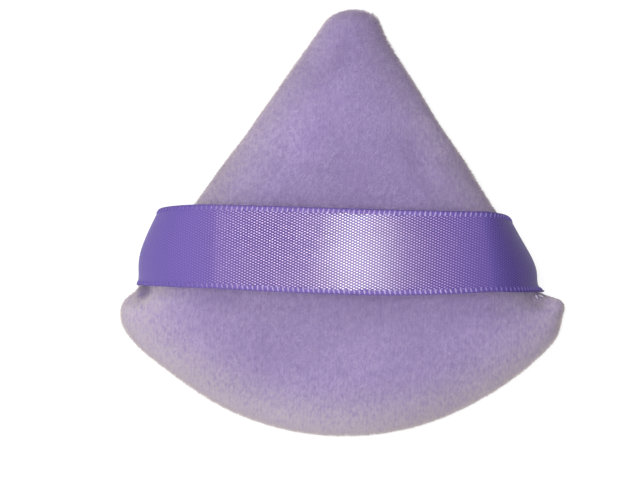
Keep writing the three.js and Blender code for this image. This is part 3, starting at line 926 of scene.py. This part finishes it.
class PUFF_OT_panels(bpy.types.Operator):
    """Make the two velour panels, filled out by a cloth simulation, with their pile"""

    bl_idname = "puff.make_panels"
    bl_label = "Velour panels"

    def execute(self, context):
        pad, pile, colours = context.scene.puff_pad, context.scene.puff_pile, context.scene.puff_colours
        forms = PadForm(pad, BACK_DENTS), PadForm(pad)
        swells = filled_shape(pad, forms[1])
        # rim is the pile colour painted paler near the seam, as painted sheen
        deep, rim = colours.pile_deep, colours.pile_painted_sheen
        ground = velour_material("Velour ground", colours.ground, deep, rim, 0.95)
        nap = velour_material("Sheared velour pile", deep, colours.pile_light, rim, 0.85)
        tree = pile_tree()
        for k, face in enumerate(("back", "front")):
            slot, node = f"{face}_velour", f"{face}_panel"
            panel, skin_count = velour_panel(slot, 1 - 2 * k, pad, pile, forms[k], swells[k], ground)
            for layer, letter in enumerate("abc"):
                carrier = skin_of(panel, skin_count)
                values = {
                    "Density": pile.tufts / sum(p.area for p in carrier.data.polygons),
                    "Height": pile.height,
                    "Tuft": pile.tuft / 2,
                    "Wale": pile.wale,
                    "Lean": pile.lean,
                    "Seed": 7 + 3 * k + layer,
                    "Material": nap,
                }
                tufts = grown(f"{slot}_pile_{letter}", carrier, tree, values)
                settle_pile(tufts.data)
                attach(tufts, BODY)
            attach(panel, BODY)
            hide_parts(node)
        return {"FINISHED"}


def settle_pile(mesh):
    """Presses the pile flat on what the puff lies on, and shades each tuft mostly as its skin."""
    places = read_vectors(mesh.vertices, "co")
    places[:, 2] = np.maximum(places[:, 2], 0.02 * MM)
    mesh.vertices.foreach_set("co", places.ravel())
    skin = read_vectors(mesh.attributes["skin"].data, "vector")
    mesh.attributes.remove(mesh.attributes["skin"])
    mesh.shade_smooth()
    normals = skin + PILE_RELIEF * read_vectors(mesh.vertex_normals, "vector")
    normals /= np.maximum(np.linalg.norm(normals, axis=1), 1e-6)[:, None]
    mesh.normals_split_custom_set_from_vertices(normals)
    mesh.update()


def skin_of(panel, skin_count):
    """A copy of a panel's pile side alone."""
    mesh = panel.data.copy()
    bm = bmesh.new()
    bm.from_mesh(mesh)
    bm.verts.ensure_lookup_table()
    bmesh.ops.delete(bm, geom=[v for v in bm.verts if v.index >= skin_count], context="VERTS")
    bm.to_mesh(mesh)
    bm.free()
    return new_object("skin", mesh)


class PUFF_OT_foam(bpy.types.Operator):
    """Make the foam core that fills the panels"""

    bl_idname = "puff.make_foam"
    bl_label = "Foam core"

    def execute(self, context):
        pad, colours = context.scene.puff_pad, context.scene.puff_colours
        # the filling gives way where the skin is drawn in, and a little more, so that it never shows
        sunk = [(*dent[:5], dent[5] * 1.2) for dent in BACK_DENTS]
        rings, middle = ring_plan(pad, 2)
        depth = pad.fabric + 0.35 * MM
        groove = 1.8 * MM  # the height that the allowances leave free
        shells, poles = [], []
        for side, dents, top in ((1, sunk, pad.crown), (-1, (), SEAM_Z)):
            form = PadForm(pad, dents)
            shell = [form.skin(ring, depth, top) for ring in rings[7:]]
            for ring in shell:
                ring[:, 2] = side * np.maximum(ring[:, 2], groove + 0.1 * MM)
            shells.append(shell)
            poles.append(form.skin(middle[None], depth, top) * (1, 1, side))
        throat = [level_ring(pad, 2, pad.allowance + 0.4 * MM, height) for height in (groove, -groove)]
        stack = [*shells[0][::-1], *throat, *shells[1]]
        core = closed_mesh("foam_block", stack, poles, 1, foam_material(colours))
        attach(core, BODY)
        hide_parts("foam_core")
        return {"FINISHED"}


class PUFF_OT_strap(bpy.types.Operator):
    """Make the satin ribbon strap with its selvedges"""

    bl_idname = "puff.make_strap"
    bl_label = "Ribbon strap"

    def execute(self, context):
        pad, strap, colours = context.scene.puff_pad, context.scene.puff_strap, context.scene.puff_colours
        grid, normals, flat = strap_surface(pad, strap)
        rows, steps = grid.shape[:2]
        lift = normals * strap.thickness / 2
        # each cross-section goes over the ribbon's face and back under it
        verts = np.concatenate((grid + lift, (grid - lift)[::-1])).swapaxes(0, 1).reshape(-1, 3)
        around = 2 * rows
        faces = ring_faces(around, steps, 0)
        for first in (0, (steps - 1) * around):
            last = first + around - 1
            faces += [(first + r, first + r + 1, last - r - 1, last - r) for r in range(rows - 1)]
        ribbon = mesh_object("ribbon_strap", verts, faces, satin_material(strap, colours))
        places = np.concatenate((flat, flat[::-1])).swapaxes(0, 1).reshape(-1, 2)
        layer = ribbon.data.uv_layers.new(name="Ribbon")
        corners = np.empty(len(ribbon.data.loops), dtype=np.int32)
        ribbon.data.loops.foreach_get("vertex_index", corners)
        layer.data.foreach_set("uv", places[corners].astype(np.float32).ravel())

        loops = self.selvedge(strap, grid, normals, colours)
        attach(ribbon, BODY)
        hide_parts("finger_strap")
        return {"FINISHED"}

    def selvedge(self, strap, grid, normals, colours):
        """The loops that the weft makes along both edges, on both faces."""
        fine = 2000  # points along an edge
        inset = 0.55 * MM  # from the edge to a loop's middle
        places, along, out = [], [], []
        row_gap = strap.width / (len(grid) - 1)
        for row, inward, slant in ((0, 1, 14), (-1, -1, -14)):
            line = grid[row] + (grid[row + inward] - grid[row]) * (inset / row_gap)
            length = np.linalg.norm(np.diff(line, axis=0), axis=1).sum()
            count = int(length / strap.loop_pitch)
            at = (np.arange(count) + 0.5) / count
            centre = sampled(even(line, fine)[0], at)
            facing = sampled(normals[row], at)
            run = np.gradient(centre, axis=0)
            run /= np.linalg.norm(run, axis=1)[:, None]
            slanted = run + np.cross(facing, run) * math.tan(math.radians(slant))
            for face in (1, -1):
                places.append(centre + facing * face * strap.thickness / 2)
                along.append(slanted)
                out.append(facing * face)
        carrier = rail("selvedge rail", *(np.concatenate(part) for part in (places, along, out)))
        # painted shade: the loops near the ribbon's ends take a darker mix of the satin colours
        ends = [0.67 * deep + 0.33 * light for deep, light in zip(colours.satin_shaded, colours.satin)]
        finish = thread_material("Selvedge loops", colours.selvedge, 0.33, 1.6, ends)
        sizes = {"Length": 0.95 * MM, "Width": 0.36 * MM, "Height": 0.3 * MM, "Material": finish}
        loops = grown("ribbon_selvedge", carrier, rail_tree(), sizes)
        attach(loops, BODY)
        return loops


class PUFF_OT_stitching(bpy.types.Operator):
    """Give the seam's threads their finish"""

    bl_idname = "puff.make_stitching"
    bl_label = "Stitching"

    def execute(self, context):
        finish = thread_material("Spun polyester thread", context.scene.puff_colours.thread, 0.7)
        for node in THREADS:
            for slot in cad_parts[node].material_slots:
                slot.link = "OBJECT"
                slot.material = finish
        self.tuck_ends(context)
        return {"FINISHED"}

    def tuck_ends(self, context):
        """The two pale thread ends that show at the tuck under the strap's lower right corner."""
        spots = np.array(THREAD_END_SPOTS) * MM
        heights = SEAM_Z + PadForm(context.scene.puff_pad, BACK_DENTS).rise(spots) + 0.15 * MM
        run = np.array(((0.8, 0.5, 0.1), (0.4, 0.9, 0.1)))
        carrier = rail("tuck rail", np.column_stack((spots, heights)), run, np.tile(UP, (2, 1)))
        finish = thread_material("Loose thread ends", context.scene.puff_colours.thread_end, 0.6)
        sizes = {"Length": 1.0 * MM, "Width": 0.38 * MM, "Height": 0.38 * MM, "Material": finish}
        ends = grown("tuck_thread_ends", carrier, rail_tree(), sizes)
        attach(ends, BODY)


class PUFF_OT_stage(bpy.types.Operator):
    """Set the floor, the lamps and the camera"""

    bl_idname = "puff.make_stage"
    bl_label = "Stage"

    def execute(self, context):
        self.floor(context.scene.puff_colours)
        self.world(context)
        self.lamps()
        self.camera(context)
        context.scene.view_settings.view_transform = "Standard"
        return {"FINISHED"}

    def floor(self, colours):
        """White paper that throws light back on the puff's rim, and shows almost without shade."""
        material, add = new_material("Matt white paper")
        plain = add("ShaderNodeBsdfDiffuse", {"Color": rgba(colours.floor)})
        glow = add("ShaderNodeEmission", {"Color": (1, 1, 1, 1), "Strength": 0.68})
        shown = add("ShaderNodeAddShader", {0: plain, 1: glow})
        bounce = add("ShaderNodeBsdfDiffuse", {"Color": rgba(linear("#d2d2d2"))})
        ray = add("ShaderNodeLightPath").outputs["Is Camera Ray"]
        mix = add("ShaderNodeMixShader", {0: ray, 1: bounce, 2: shown})
        add("ShaderNodeOutputMaterial", {"Surface": mix})
        reach = 2.0
        corners = [(-reach, -reach, 0), (reach, -reach, 0), (reach, reach, 0), (-reach, reach, 0)]
        floor = mesh_object("floor", corners, [(0, 1, 2, 3)], material, smooth=False)

    def world(self, context):
        """A white room that lights the puff more from the left and from the front."""
        world = bpy.data.worlds.new("Studio")
        context.scene.world = world
        add = emptied(world)
        way = add("ShaderNodeTexCoord").outputs["Generated"]
        lit_side = (-0.2, -0.1, 0.0)
        towards = add("ShaderNodeVectorMath", {0: way, 1: lit_side}, operation="DOT_PRODUCT")
        level = add("ShaderNodeMath", {0: towards, 1: 0.55}, operation="ADD", use_clamp=True)
        light, seen = (
            add("ShaderNodeBackground", {"Color": (1, 1, 1, 1), "Strength": strength})
            for strength in (level, 1.0)
        )
        ray = add("ShaderNodeLightPath").outputs["Is Camera Ray"]
        mix = add("ShaderNodeMixShader", {0: ray, 1: light, 2: seen})
        add("ShaderNodeOutputWorld", {"Surface": mix})

    def lamps(self):
        """Round lamps that face the pad: their place in metres, width in metres and power in watts."""
        for name, place, width, power in (
            ("side", (-0.40, -0.16, 0.38), 0.50, 0.8),
            ("front", (0.0, -0.50, 0.12), 0.40, 0.5),
            ("back", (-0.18, 0.30, 0.42), 0.30, 0.7),
            ("overhead", (-0.05, 0.01, 0.54), 0.20, 0.86),
            ("glint", (0.014, -0.008, 0.55), 0.035, 0.52),
        ):
            lamp = bpy.data.lights.new(name, "AREA")
            lamp.shape = "DISK"
            lamp.size = width
            lamp.energy = power
            obj = new_object(name, lamp)
            obj.location = place
            obj.rotation_euler = (Vector((0, 0, SEAM_Z)) - Vector(place)).to_track_quat("-Z", "Y").to_euler()

    def camera(self, context):
        """Straight above the puff, turned a little, as the photograph shows it."""
        data = bpy.data.cameras.new("camera")
        data.lens, data.sensor_width = 150, 36
        data.clip_start = 0.01
        obj = new_object("camera", data)
        obj.location = (-4.25 * MM, -3.39 * MM, SEAM_Z + 472.6 * MM)
        obj.rotation_euler = (0, 0, math.radians(1.85))
        context.scene.camera = obj


class PUFF_PT_panel(bpy.types.Panel):
    """Lists the pieces of the puff"""

    bl_label = "Powder puff"
    bl_space_type = "VIEW_3D"
    bl_region_type = "UI"
    bl_category = "Puff"

    def draw(self, context):
        for name, kind in GROUPS.items():
            box = self.layout.box()
            for key in kind.__annotations__:
                box.prop(getattr(context.scene, name), key)
        for operator in OPERATORS:
            self.layout.operator(operator.bl_idname)


GROUPS = {
    "puff_pad": PuffPadSizes,
    "puff_pile": PuffPileSizes,
    "puff_strap": PuffStrapSizes,
    "puff_colours": PuffColours,
}
OPERATORS = (PUFF_OT_panels, PUFF_OT_foam, PUFF_OT_strap, PUFF_OT_stitching, PUFF_OT_stage)


def register():
    for group in GROUPS.values():
        bpy.utils.register_class(group)
    for name, group in GROUPS.items():
        setattr(bpy.types.Scene, name, bpy.props.PointerProperty(type=group))
    for cls in (*OPERATORS, PUFF_PT_panel):
        bpy.utils.register_class(cls)


def unregister():
    for cls in (PUFF_PT_panel, *reversed(OPERATORS)):
        bpy.utils.unregister_class(cls)
    for name in GROUPS:
        delattr(bpy.types.Scene, name)
    for group in reversed(GROUPS.values()):
        bpy.utils.unregister_class(group)


def main():
    register()
    bpy.ops.puff.make_panels()
    bpy.ops.puff.make_foam()
    bpy.ops.puff.make_strap()
    bpy.ops.puff.make_stitching()
    bpy.ops.puff.make_stage()


if __name__ == "__main__":
    main()
